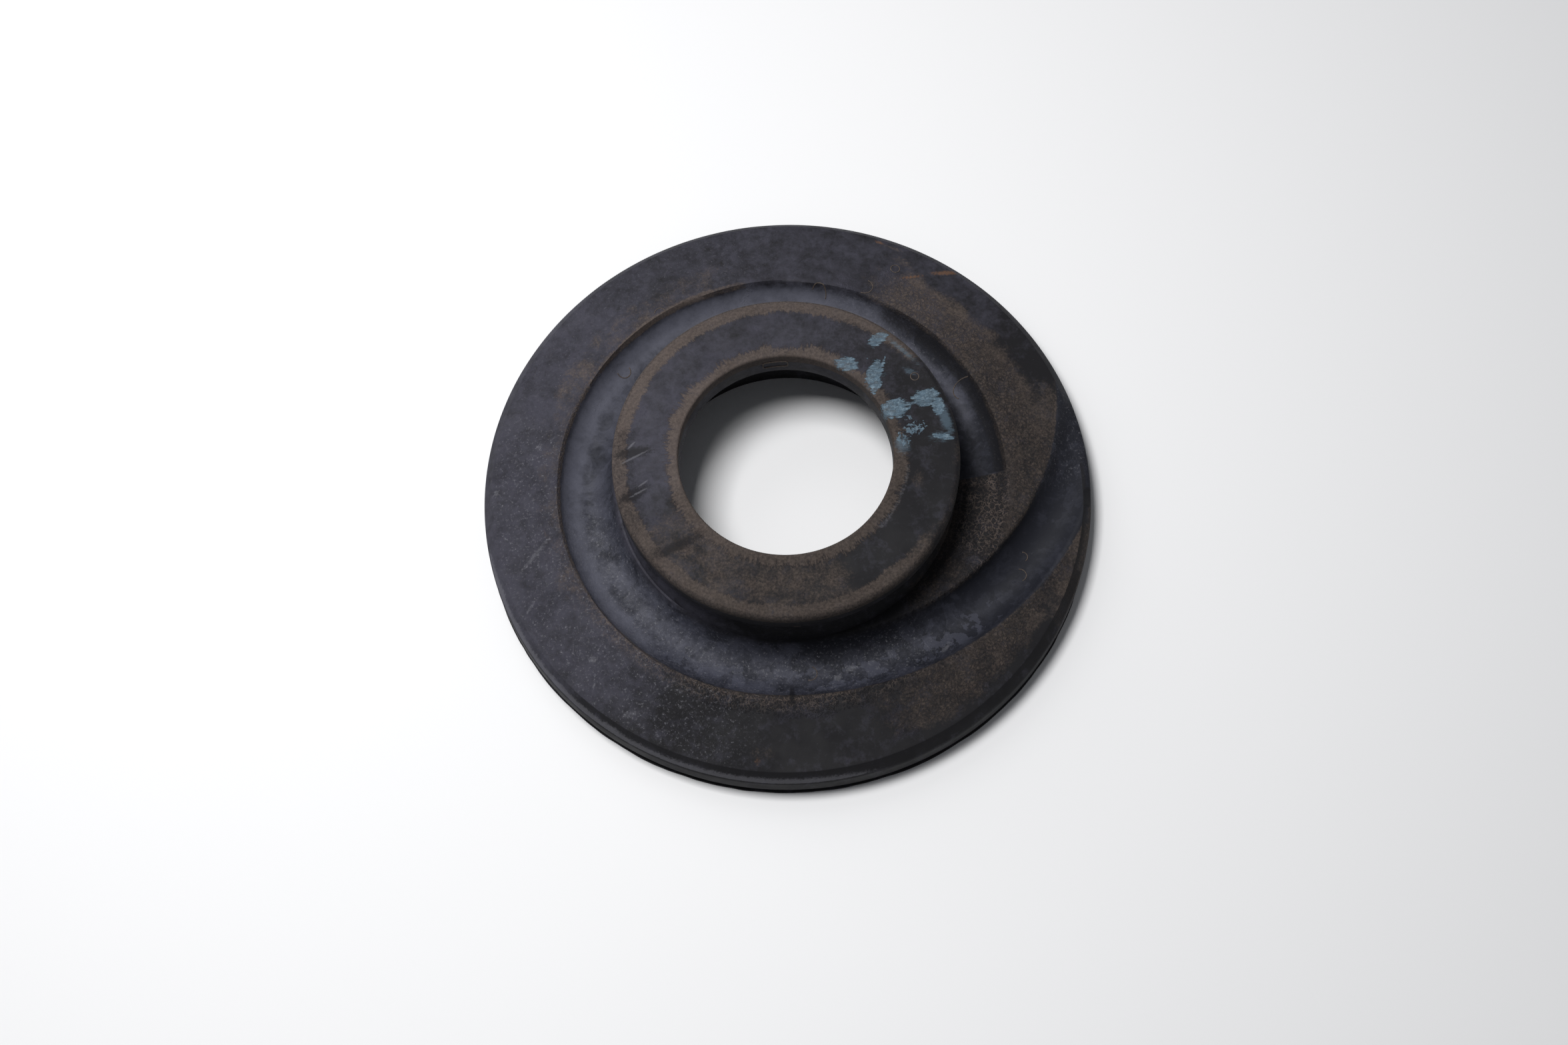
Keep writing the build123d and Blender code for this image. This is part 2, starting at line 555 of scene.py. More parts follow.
def arc(start, end, soft, inner, outer, soft_r):
    """Part of a ring: a sector of a band."""
    return sector(start, end, soft) * band(inner, outer, soft_r)


on_top = z > 7.0
on_boss = z > 20.0
on_face = z > 25.0
flange = (radius > NECK_R + 0.1) & on_top & (z < PLATEAU[1] + 0.2)
print("bearings run from", round(float(bearing.min())), "to", round(float(bearing.max())))

# %% Channel, crazing and bloom masks
channel = flange * (1 - ramp(CHANNEL_R - 1, CHANNEL_R + 0.1, to_wire))
store_mask("channel", channel)
off_rim = 1 - ramp(RIM_R - 4, RIM_R - 2.2, radius)
crazing = most_of(
    arc(150, 290, 30, 54.9, 56.4, 1.8) * 0.8,
    arc(250, 300, 14, 54.5, 58.5, 3.5) * 0.85,
    arc(2, 58, 26, 54, 60.5, 7) * 0.85,
    arc(302, 342, 22, 60, 67.5, 7) * 0.85,
    arc(316, 362, 14, 43, 64, 5) * 0.9,
)
netted = most_of(
    arc(338, 359, 8, 44, 53, 3),
    arc(312, 338, 8, 52, 60, 4) * 0.8,
    arc(215, 300, 14, 54.5, 57.8, 2) * 0.8,
)
netted *= flange * (1 - ramp(0.2, 0.7, channel))
store_mask("netted", netted)
crazing *= flange * (1 - ramp(0.25, 0.8, channel)) * off_rim
store_mask("crazing", crazing)
film = most_of(
    arc(115, 300, 30, 55, 55.9, 1.1) * 0.9,
    arc(165, 285, 20, 55.5, 57.5, 4.5) * 0.42,
    arc(148, 205, 20, 55, 60, 5) * 0.36,
    arc(112, 150, 25, 55, 62, 5) * 0.42,
    arc(-15, 54, 24, 51, 63, 8) * 0.64,
    arc(300, 348, 26, 57, 68, 7) * 0.6,
    arc(314, 362, 14, 42, 64, 5) * 0.46,
    arc(215, 285, 30, 29, 37.5, 4) * on_boss * 0.5,
    arc(335, 375, 14, 60, 76, 1) * 0.6,
    dab(32, 345, 6, 2.2, 0, 0.55),
    dab(68, 60, 9, 2.2, 0, 0.42),
    dab(71.5, 66, 6, 0.9, 0, 0.5),
    dab(68.5, 262, 5, 3.5, 0, 0.45),
)
film *= on_top * (1 - 0.9 * ramp(0.3, 0.9, channel))
store_mask("film", film)
print("crazed part of the flange:", round(float((crazing > 0.5).sum() / flange.sum()), 2))

# %% [markdown]
# Dust lies in the channel more than on the flange. The dust mask also holds painted sheen: it is lighter
# on the left and back, the side towards the lights, and on the channel's left, and darker to the front
# right.
# The mask shine says where the wire polished the channel. Pale patches on the front of the channel's floor
# are painted highlights. The channel's outer wall is made paler where it lies in shade, as painted light,
# and the key light's highlight is painted on its floor at the lower left. The outer wall also has coarse
# specks, and in the channel at the front the specks also paint the glints of the polished floor.

# %% Dust and painted sheen, shine, painted highlight and painted wall light masks
# Dust, and painted sheen: lighter on the left and back, the side towards the lights, and on the channel's
# left.
dust_and_sheen = most_of(
    sector(140, 220, 45) * 0.78,
    sector(60, 135, 40) * 0.5,
    sector(222, 236, 26) * 0.45,
    channel * (0.62 + 0.2 * sector(100, 250, 40)),
    dab(70.5, 242.5, 2, 1.7, 0, 1.6),
)
# Places with less of it, mostly to the front right: less dust, and painted shade on the side away from the
# lights.
for less_dust_and_sheen in (
    0.85 * sector(250, 345, 25) * (1 - channel) * (radius > COLLAR_R),
    0.45 * ramp(70.5, 74.5, radius) * sector(230, 375, 15),
    0.6 * sector(285, 330, 25) * channel * ramp(-1, 6, -leave),
    0.8 * sector(312, 380, 20) * channel * ramp(50, 55, radius),
    0.6 * sector(205, 300, 15) * on_boss,
    0.5 * sector(0, 55, 15) * channel * (radius < 56),
):
    dust_and_sheen *= 1 - less_dust_and_sheen
store_mask("dust_and_sheen", dust_and_sheen * on_top)
shine = most_of(sector(192, 300, 16), sector(120, 330, 30) * 0.4)
store_mask("shine", shine * channel)
outward = np.where(bearing > LEAVE_ANGLE, leave, wrap)
floor_part = ramp(-3.5, -0.5, outward) * (1 - ramp(4, 6, outward))
# Painted highlight: pale patches on the outer half of the channel's floor at the front, where the polished
# rubber glints.
store_mask("glint_patches", channel * sector(238, 322, 10) * floor_part)
outer_wall = flange * ramp(0.5, 3, wrap) * (1 - ramp(5.6, 7, wrap)) * (bearing < 300)
# Painted light: the channel's outer wall is made paler on the left and at the back, where it faces away
# from the lights and lies in shade, and a light band is painted along the channel by the stop.
painted_wall_light = outer_wall * most_of(sector(66, 128, 18) * 0.6, sector(130, 215, 25) * 0.6)
painted_wall_light += flange * sector(22, 60, 12) * np.exp(-((wrap - 2) ** 2) / 1.8) * 0.42
# Painted highlight: the key light's reflection on the channel's floor at the lower left.
painted_wall_light += channel * dab(45.8, 216, 13, 2.8, 0, 0.36)
store_mask("painted_wall_light", painted_wall_light)
# Dust specks; in the channel at the front and lower left they also paint the speckled glints of its
# polished floor.
specks_and_glints = most_of(
    sector(195, 300, 20) * channel * 0.9,
    sector(40, 72, 15) * channel * 0.7,
    sector(4, 58, 10) * channel * ramp(3, 5, wrap) * 0.75,
    arc(172, 248, 20, 57, 71, 3) * 0.9,
    arc(100, 165, 20, 58, 71, 4) * 0.3,
)
store_mask("specks_and_glints", specks_and_glints * flange)
print("dust masks stored")

# %% [markdown]
# The marks come last, placed one by one: blue paint with its spatter and smears, rust, pale scrapes and
# dark stains. The paint's dabs are crisp, with a flat middle. The scrape mask also paints light on the
# front of the rim's side, and the stain mask paints shade on the front of the rim's bevel and on the
# channel's outer wall by the stop.

# %% Paint, rust, scrape and rim light, stain and shade masks
paint = dabs(
    (27.8, 55.8, 2.9, 2, 25, 1),
    (37.7, 51.4, 2.9, 1.5, -106, 1),
    (30.2, 42.4, 3.6, 1.9, -69, 1),
    (27.9, 36.5, 2.4, 1.2, -69, 0.88),
    (28.4, 21.6, 3.6, 2.6, -91, 1),
    (31.4, 21, 2, 1.5, -91, 0.76),
    (36.6, 21.2, 3.5, 2.4, -95, 1),
    (38.6, 16.6, 3, 1.7, -12, 0.88),
    (37.8, 4.4, 2.9, 0.75, -104, 1),
    (33.6, 43, 2.4, 0.4, -60, 0.72),
    crisp=True,
)
store_mask("paint", paint * on_face)
spatter = dabs(
    (31.6, 9.5, 5, 3.4, 100, 1.1),
    (28.4, 4.5, 3.4, 3, 0, 1.2),
    (31, 15, 1.8, 3.4, 0, 0.95),
    (32, 49.5, 0.9, 1.2, 0, 0.9),
    (34.6, 1.5, 2, 2.4, 0, 0.7),
)
store_mask("spatter", spatter * on_face)
smear = dabs(
    (39.4, 42, 7, 1, 2, 0.75),
    (37, 33.5, 2.6, 1, 35, 0.75),
    (39.2, 12, 6, 1.6, 4, 1.1),
    (28, 2, 2.6, 2.2, 0, 0.95),
    (37, 4.5, 3.4, 1.8, -95, 0.75),
    (29.2, 40, 5.4, 2.4, -69, 0.7),
    (29, 21, 4.4, 3.2, -91, 0.7),
)
store_mask("smear", smear * on_face)
rust = dabs(
    (65.3, 58.5, 4, 0.5, 40, 1),
    (71.5, 53, 5, 0.8, 40, 1),
    (71.9, 68.3, 1.8, 0.5, 0, 0.9),
    (70.5, 262, 1.4, 1.8, 0, 0.55),
)
store_mask("rust", rust * flange)
scrape_dabs = dabs(
    (64.2, 194.8, 10.5, 1.1, -57, 0.64),
    (69.2, 204.7, 4.6, 0.9, -59, 0.62),
    (69.4, 235.4, 4.4, 1.7, 45, 0.6),
    (71.6, 179, 1.6, 1, 0, 0.7),
    (62.1, 168.5, 1.7, 1.7, 0, 0.62),
    (64.7, 222.1, 2, 2, 0, 0.64),
    (62.5, 244.3, 1.4, 1.4, 0, 0.6),
    (50.5, 281.5, 1.7, 1.2, 20, 0.8),
    (49, 286, 2.6, 1.4, 0, 0.7),
    (56.5, 310, 3.5, 1.1, 10, 0.7),
    (36, 178.5, 5.6, 0.34, -63, 0.9),
    (37, 173.8, 1.9, 0.3, -39, 1),
    (36.2, 193.3, 3.8, 0.34, -76, 0.9),
    (34.6, 190, 2.4, 0.3, -66, 0.9),
    (69, 226, 0.5, 3, 30, 0.7),
    (66, 217, 0.4, 4, 50, 0.65),
)
# Scrapes, a pale arc on the collar, and a thin pale line along the foot of the bevel at the front.
scrape_and_rim_light = most_of(
    scrape_dabs,
    arc(318, 350, 6, 28.9, 29.6, 1) * on_boss * 0.5,
    sector(198, 275, 20) * (radius > RIM_R - 1.5) * np.exp(-(((z - 7.5) / 0.35) ** 2)) * 0.85,
)
# Painted light: the front of the rim's side is made paler in the same mask, where that side catches the
# light.
rim_side = (radius > RIM_R - 0.7) * ramp(2.6, 3.2, z) * (1 - ramp(6.2, 6.8, z))
store_mask("scrape_and_rim_light", scrape_and_rim_light * on_top + sector(228, 296, 16) * rim_side * 0.6)
stain_dabs = dabs(
    (54.5, 269, 0.8, 4, 0, 1),
    (57, 287, 3.2, 1.1, 0, 0.8),
    (36.6, 176.6, 6.6, 1.8, -81, 0.95),
    (37.8, 193.6, 5.2, 2.1, -79, 0.95),
    (34.3, 220.2, 8.4, 1.8, 73, 0.9),
    (39, 217, 3.4, 2.2, 80, 0.66),
    (33, 205, 5, 2.2, 20, 0.5),
    (33.5, 246, 6, 1.6, 10, 0.5),
    (68.5, 200, 4, 1.6, 30, 0.55),
    (62, 212, 3.4, 2, -20, 0.55),
    (64.5, 244, 4, 2, 60, 0.55),
)
# Stains, and painted shade: the channel's outer wall by the stop, which lies in shade, and the front of
# the rim's bevel, which faces away from the lights, are darkened.
stain_and_shade = most_of(
    stain_dabs,
    arc(40, 66, 20, 30, 38, 3) * on_boss * 0.5,
    flange * sector(-5, 58, 8) * ramp(2.6, 5.4, wrap) * (1 - ramp(6.2, 8.6, wrap)) * 0.7,
    sector(235, 355, 20) * band(RIM_R - 2, RIM_R, 0.4) * (z > BEVEL_FOOT[1] + 0.4) * 1.5,
    arc(170, 205, 8, 36.5, 41, 1.5) * on_boss * 0.5,
    band(40.9, 42, 0.5) * on_boss * 0.5,
)
store_mask("stain_and_shade", stain_and_shade * on_top)
print("masks stored:", [a.name for a in pad.data.attributes if a.data_type == "FLOAT"])

# %% [markdown]
# ## Small helpers for shader nodes
# A material is a tree of nodes. Typing each node and link in full hides the idea, so helpers add a node
# and fill its inputs: a plain value is set on the socket, and another node's output is linked.

# %% Node helpers


def fill(tree, node, inputs):
    """Sets plain values on a node's inputs, and links the outputs of other nodes to them."""
    for socket, value in inputs.items():
        if isinstance(value, bpy.types.NodeSocket):
            tree.links.new(value, node.inputs[socket])
        else:
            node.inputs[socket].default_value = value
    return node


def add_node(tree, kind, inputs=None, **settings):
    """Adds a node, sets its properties, then fills or links its inputs."""
    node = tree.nodes.new("ShaderNode" + kind)
    for key, value in settings.items():
        setattr(node, key, value)
    return fill(tree, node, inputs or {})


def tree_of(*values):
    """The node tree of the first output among some values: an output knows where it belongs."""
    return next(value.id_data for value in values if isinstance(value, bpy.types.NodeSocket))


def calc(operation, *values, clamp=False):
    """A Math node; returns its result."""
    inputs = dict(enumerate(values))
    node = add_node(tree_of(*values), "Math", inputs, operation=operation, use_clamp=clamp)
    return node.outputs[0]


times = partial(calc, "MULTIPLY")
plus = partial(calc, "ADD")
minus = partial(calc, "SUBTRACT")


def swing(value, reach):
    """Noise that lies about 0.5, moved to lie about 0 and stretched by its reach."""
    return times(minus(value, 0.5), reach)


def fade(value, low, high, start=0.0, end=1.0):
    """Goes smoothly from start to end while value goes from low to high."""
    inputs = {"Value": value, "From Min": low, "From Max": high, "To Min": start, "To Max": end}
    node = add_node(tree_of(value), "MapRange", inputs, interpolation_type="SMOOTHSTEP")
    return node.outputs["Result"]


def cloud(place, scale, detail=3.0, rough=0.55, warp=0.0):
    """Noise between 0 and 1 about patches of 1 / scale."""
    inputs = {"Vector": place, "Scale": scale, "Detail": detail, "Roughness": rough, "Distortion": warp}
    return add_node(tree_of(place), "TexNoise", inputs).outputs["Fac"]


def blend(mask, below, above, cover=None):
    """One colour laid over another through a mask, which cover makes thinner where it is given."""
    if cover is not None:
        mask = times(mask, cover)
    node = add_node(tree_of(mask), "Mix", {"Factor": mask, 6: below, 7: above}, data_type="RGBA")
    return node.outputs[2]


def place_in_mm(tree):
    """The point being shaded, in millimetres."""
    coords = add_node(tree, "TexCoord").outputs["Object"]
    return add_node(tree, "VectorMath", {0: coords, "Scale": 1 / MM}, operation="SCALE").outputs[0]


def new_group(name, inputs, outputs):
    """An empty node group with named sockets; returns the tree, its input node and its output node."""
    tree = bpy.data.node_groups.new(name, "ShaderNodeTree")
    for socket, kind in inputs:
        tree.interface.new_socket(socket, in_out="INPUT", socket_type=kind)
    for socket, kind in outputs:
        tree.interface.new_socket(socket, in_out="OUTPUT", socket_type=kind)
    return tree, tree.nodes.new("NodeGroupInput"), tree.nodes.new("NodeGroupOutput")


def use_group(group, **inputs):
    """Places a group in the tree of its inputs, with its own values."""
    return add_node(tree_of(*inputs.values()), "Group", inputs, node_tree=group)


def new_material(name):
    """A material with only a Principled BSDF; returns material, tree and shader."""
    material = bpy.data.materials.new(name)
    material.use_nodes = True
    tree = material.node_tree
    return material, tree, tree.nodes["Principled BSDF"]


FLOAT, COLOUR, VECTOR = "NodeSocketFloat", "NodeSocketColor", "NodeSocketVector"
print("node helpers ready")

# %% [markdown]
# ## Rubber grain
# Moulded rubber is satin with a fine pebble, and dust sits in it as pale specks. More than one material
# needs this, so it is a node group. It gives a height for the bump, a speck mask and a change of gloss.

# %% Grain group


def make_grain():
    """Fine pebble, dust specks and patchy gloss, from a place in millimetres."""
    tree, give, take = new_group(
        "rubber_grain",
        [("Place", VECTOR), ("Dust", FLOAT)],
        [("Height", FLOAT), ("Specks", FLOAT), ("Gloss", FLOAT)],
    )
    place = give.outputs["Place"]
    pebble = cloud(place, 2.6, 4.0, 0.6)
    ripple = cloud(place, 0.35, 3.0, 0.5)
    height = plus(times(pebble, 0.55), times(ripple, 0.45))
    spots = add_node(tree, "TexVoronoi", {"Vector": place, "Scale": 0.9}, feature="F1")
    pick = add_node(tree, "SeparateColor", {0: spots.outputs["Color"]})
    size = times(minus(pick.outputs[0], 0.72), 0.5)
    size = times(size, give.outputs["Dust"])
    near = minus(size, spots.outputs["Distance"])
    specks = fade(near, -0.02, 0.03)
    gloss = cloud(place, 0.12, 4.0, 0.6)
    fill(tree, take, {"Height": height, "Specks": specks, "Gloss": gloss})
    return tree


grain = make_grain()
print("grain group outputs:", [s.name for s in grain.interface.items_tree if s.in_out == "OUTPUT"])

# %% [markdown]
# ## Brown bloom
# Waxes and oils creep out of old rubber and dry on it as a brown film. The group breaks a smooth amount
# up into large patches and fine crumbs, and gives the film a colour that is paler where its dust input is
# high; on the pad that input is the dust mask, so the film is also paler where the painted sheen lies.

# %% Bloom group


def make_bloom():
    """Brown film: a mask broken into patches, and its uneven colour."""
    tree, give, take = new_group(
        "brown_bloom",
        [("Place", VECTOR), ("Amount", FLOAT), ("Dust", FLOAT), ("Pale", COLOUR), ("Deep", COLOUR)],
        [("Mask", FLOAT), ("Color", COLOUR)],
    )
    place = give.outputs["Place"]
    patches = cloud(place, 0.2, 5.0, 0.6, 0.4)
    fine = cloud(place, 1.6, 6.0, 0.75)
    broken = plus(times(patches, 0.85), times(fine, 0.55))
    reach = minus(plus(give.outputs["Amount"], broken), 1.2)
    mask = fade(reach, -0.18, 0.22)
    shade = plus(fade(fine, 0.3, 0.75, 0.1, 0.7), times(give.outputs["Dust"], 0.4))
    colour = blend(calc("MINIMUM", shade, 1.0), give.outputs["Deep"], give.outputs["Pale"])
    fill(tree, take, {"Mask": mask, "Color": colour})
    return tree


bloom_group = make_bloom()
print("bloom group has", len(bloom_group.nodes), "nodes")

# %% [markdown]
# ## Crazed skin
# Ozone cracks old rubber into a net of tiny islands, like leather. A Voronoi texture gives the distance
# to the nearest crack. Its place is warped by noise first, so that no two islands look alike.

# %% Crazing group
WARP_SIZE = 3.2


def make_crazing():
    """A net of cracks between small islands, from a place in millimetres."""
    tree, give, take = new_group(
        "crazed_skin",
        [("Place", VECTOR), ("Island", FLOAT)],
        [("Height", FLOAT), ("Crest", FLOAT)],
    )
    place = give.outputs["Place"]
    inputs = {"Vector": place, "Scale": 0.5, "Detail": 5.0, "Roughness": 0.7}
    warp = add_node(tree, "TexNoise", inputs)
    inputs = {0: warp.outputs["Color"], "Scale": WARP_SIZE}
    offset = add_node(tree, "VectorMath", inputs, operation="SCALE")
    moved = add_node(tree, "VectorMath", {0: place, 1: offset.outputs[0]}, operation="ADD")
    scale = calc("DIVIDE", 1.0, give.outputs["Island"])
    inputs = {"Vector": moved.outputs[0], "Scale": scale, "Randomness": 1.0}
    net = add_node(tree, "TexVoronoi", inputs, feature="DISTANCE_TO_EDGE")
    height = fade(net.outputs["Distance"], 0.0, 0.3)
    crest = fade(net.outputs["Distance"], 0.01, 0.13)
    fill(tree, take, {"Height": height, "Crest": crest})
    return tree


crazed = make_crazing()
print("crazing group has", len(crazed.nodes), "nodes")

# %% [markdown]
# ## The moulding's rubber
# The colours go on in layers, as they came to be on the real pad: black rubber and dust, the channel that
# the wire rubbed, brown bloom and crazing, stains and scrapes, and the marking paint last. The dust, the
# channel, the stains and the scrapes also carry painted light and shade. Radius and angle about the axis
# are worked out from Object coordinates, so the combed rings follow the bore.

# %% Colours, and the material's own coordinates
RUBBER = (0.0085, 0.0082, 0.0102, 1)
DUST_AND_SHEEN_RUBBER = (0.044, 0.0432, 0.059, 1)
CHANNEL_DARK = (0.0115, 0.0125, 0.0185, 1)
CHANNEL_DUST_AND_SHEEN = (0.048, 0.05, 0.069, 1)
PAINTED_WALL_LIGHT = (0.115, 0.118, 0.15, 1)
GLINT_PATCH_COLOUR = (0.08, 0.084, 0.115, 1)
BLOOM_DEEP = (0.0215, 0.017, 0.015, 1)
BLOOM_PALE = (0.125, 0.098, 0.084, 1)
PALE_DUST_AND_LIGHT = (0.2, 0.2, 0.225, 1)
PAINT_BLUE = (0.09, 0.138, 0.182, 1)
PAINT_PALE = (0.215, 0.29, 0.35, 1)
RUST = (0.15, 0.075, 0.036, 1)
SOOT_AND_SHADE = (0.0065, 0.0062, 0.0078, 1)
STROKE_DRUM = 60.0
STROKE_STRETCH = 0.35


def ring_place(tree, place):
    """Radius, a place that runs round the axis for strokes that point outwards, and the bearing."""
    parts = add_node(tree, "SeparateXYZ", {0: place})
    flat = add_node(tree, "CombineXYZ", {"X": parts.outputs["X"], "Y": parts.outputs["Y"]})
    reach = add_node(tree, "VectorMath", {0: flat.outputs[0]}, operation="LENGTH")
    unit = add_node(tree, "VectorMath", {0: flat.outputs[0]}, operation="NORMALIZE")
    split = add_node(tree, "SeparateXYZ", {0: unit.outputs[0]})
    around_x = times(split.outputs["X"], STROKE_DRUM)
    around_y = times(split.outputs["Y"], STROKE_DRUM)
    slow = times(reach.outputs["Value"], STROKE_STRETCH)
    round_place = add_node(tree, "CombineXYZ", {"X": around_x, "Y": around_y, "Z": slow})
    angle = calc("ARCTAN2", split.outputs["Y"], split.outputs["X"])
    return reach.outputs["Value"], round_place.outputs[0], times(angle, 180.0 / math.pi)


def painted(name):
    """The painted mask of that name."""
    return add_node(tree, "Attribute", attribute_name=name, attribute_type="GEOMETRY").outputs["Fac"]


def torn(name, noise_about_0, low, high):
    """The painted mask of that name, with its soft edge torn by noise."""
    return fade(plus(painted(name), noise_about_0), low, high)


rubber, tree, shader = new_material("spring_seat_rubber")
place = place_in_mm(tree)
reach, round_place, around = ring_place(tree, place)
height_mm = add_node(tree, "SeparateXYZ", {0: place}).outputs["Z"]
print("coordinates take", len(tree.nodes), "nodes")

# %% [markdown]
# ### Black rubber, veil and channel
# Clean rubber is almost black. Dust lies on it as a blue-grey veil, and the same veil is painted sheen:
# lighter on the side towards the lights, darker to the front right. The painted mask says how much, and
# noise of two sizes says where it thins. The channel has its own colours, in sharper patches, because the
# wire rubbed it; its paler colour follows the same dust and painted sheen. Pale patches on the front of
# its floor are painted highlights. Last, the channel's outer wall is made paler where it lies in shade,
# which is painted light.

# %% Rubber, veil and painted sheen, channel, painted highlights and wall light
dust_and_sheen_mask = painted("dust_and_sheen")
channel_mask = painted("channel")
mottle = cloud(place, 0.16, 6, 0.62, 0.3)
veil = cloud(place, 0.55, 6, 0.75)
uneven = plus(times(mottle, 1.7), times(veil, 1.4))
blotch = fade(cloud(place, 0.3, 4, 0.6, 0.8), 0.52, 0.6, 0, 0.16)
uneven = plus(minus(uneven, 1.59), blotch)
# The veil: dust, and painted sheen that is lighter towards the lights.
dust_and_sheen_on = plus(dust_and_sheen_mask, uneven, clamp=True)
colour = blend(dust_and_sheen_on, RUBBER, DUST_AND_SHEEN_RUBBER)
patch = cloud(place, 0.1, 3, 0.5, 1.6)
sharp = fade(patch, 0.5, 0.535, -0.14, 0.14)
# The channel's paler colour follows the same dust and painted sheen.
channel_dust_and_sheen = plus(plus(times(dust_and_sheen_mask, 0.72), sharp), uneven, clamp=True)
channel_dust_and_sheen = times(channel_dust_and_sheen, fade(dust_and_sheen_mask, 0, 0.4, 0.45, 1))
in_channel = blend(channel_dust_and_sheen, CHANNEL_DARK, CHANNEL_DUST_AND_SHEEN)
# Painted highlight: pale patches on the front of the channel's floor, where the polished rubber glints.
glint_noise = cloud(place, 0.21, 5, 0.6)
glint_on = times(painted("glint_patches"), fade(glint_noise, 0.52, 0.54, 0, 0.36))
in_channel = blend(glint_on, in_channel, GLINT_PATCH_COLOUR)
colour = blend(channel_mask, colour, in_channel)
# Painted light: the outer wall is lightened where it lies in shade, and the key light's highlight is
# painted on the channel's floor.
wall = plus(painted("painted_wall_light"), times(uneven, 0.35), clamp=True)
wall = times(wall, calc("GREATER_THAN", painted("painted_wall_light"), 0.01))
colour = blend(wall, colour, PAINTED_WALL_LIGHT)
print(len(tree.nodes), "nodes so far")

# %% [markdown]
# ### Combed rings
# On the collar the bloom is combed into short strokes that point outwards, as wiping leaves it. Noise on
# the round place moves the edge of two rings in and out: one beside the bore, one along the collar's edge.

# %% Combed rings on the collar
COLLAR_FACE_Z = 26.5
strokes = cloud(round_place, 0.95, 6, 0.85)
slow_round = cloud(round_place, 0.035, 3, 0.6)
wander = swing(mottle, 5)
comb = swing(strokes, 9)
comb = plus(comb, wander)
face_only = calc("GREATER_THAN", height_mm, COLLAR_FACE_Z)
inner_ring = fade(plus(reach, comb), 27.2, 30.4, 1, 0)
outer_ring = fade(plus(reach, times(comb, 0.45)), 36.6, 39.2)
off_right = fade(calc("ABSOLUTE", around), 20, 55, 0.1, 1)
outer_ring = times(outer_ring, off_right)
combed = times(calc("MAXIMUM", inner_ring, outer_ring), face_only)
combed = times(combed, fade(slow_round, 0.2, 0.55, 0.7, 1))
print(len(tree.nodes), "nodes so far")

# %% [markdown]
# ### Film and crazing
# The film lies where its mask and the combed rings say. On crazed skin its cracks are dark. In the netted
# places it is the other way round: the net's lines are pale and its islands dark.

# %% Film and crazing
ISLAND_SIZE = 1.1
crazing_mask = painted("crazing")
net = use_group(crazed, Place=place, Island=ISLAND_SIZE)
crest = net.outputs["Crest"]
crazing_edge = plus(crazing_mask, times(uneven, 1.2))
crazing_on = fade(crazing_edge, 0.3, 0.75)
amount = calc("MAXIMUM", painted("film"), combed)
film = use_group(bloom_group, Place=place, Amount=amount, Dust=dust_and_sheen_mask, Pale=BLOOM_PALE, Deep=BLOOM_DEEP)
film_mask = times(film.outputs["Mask"], 0.8)
crack = times(crazing_on, minus(1, crest))
netted_mask = painted("netted")
island = times(netted_mask, crest)
crack = times(crack, minus(1, netted_mask))
dark_part = calc("MAXIMUM", crack, island)
film_mask = times(film_mask, minus(1, times(dark_part, 0.85)))
colour = blend(film_mask, colour, film.outputs["Color"])
net_line = times(netted_mask, minus(1, crest))
net_line = times(net_line, fade(veil, 0.38, 0.62, 0, 0.6))
colour = blend(net_line, colour, BLOOM_PALE)
print("with film and crazing,", len(tree.nodes), "nodes")

# %% [markdown]
# ### Specks and glints, stains and shade, scrapes and rim light, and rust
# Dust specks come first; in the channel they also paint the glints of its polished floor. Then come dark
# stains, which also paint shade on the front of the rim's bevel and on the channel's outer wall by the
# stop;
# pale scrapes, which also paint light on the front of the rim's side; and brown rust. Each is a painted
# mask whose edge is torn by one fine noise, the powder.

# %% Specks and glints, stains and shade, scrapes and rim light, and rust
specks_and_glints_mask = painted("specks_and_glints")
speck_amount = plus(times(specks_and_glints_mask, 1.2), 0.4)
skin = use_group(grain, Place=place, Dust=speck_amount)
powder = cloud(place, 1.5, 6, 0.8)
# In the channel these pale specks also paint glints of the polished floor.
specks_and_glints_on = times(specks_and_glints_mask, fade(powder, 0.54, 0.66))
colour = blend(specks_and_glints_on, colour, PALE_DUST_AND_LIGHT, cover=0.5)
colour = blend(skin.outputs["Specks"], colour, PALE_DUST_AND_LIGHT, cover=0.4)
ragged = swing(powder, 0.9)
# Dark stains, and painted shade on the front of the rim's bevel and on the channel's outer wall by the
# stop.
colour = blend(torn("stain_and_shade", times(ragged, 1.4), 0.3, 0.8), colour, SOOT_AND_SHADE, cover=0.8)
# Pale scrapes, and painted light on the front of the rim's side.
colour = blend(torn("scrape_and_rim_light", ragged, 0.4, 0.7), colour, PALE_DUST_AND_LIGHT, cover=0.3)
colour = blend(torn("rust", ragged, 0.35, 0.8), colour, RUST, cover=0.55)
print(len(tree.nodes), "nodes so far")

# %% [markdown]
# ### Marking paint
# The blue paint was dry-brushed: solid in the middle of a dab and broken at its edge. Noise that a Mapping
# node stretches along the brush gives the bristles, and round noise gives the drops.

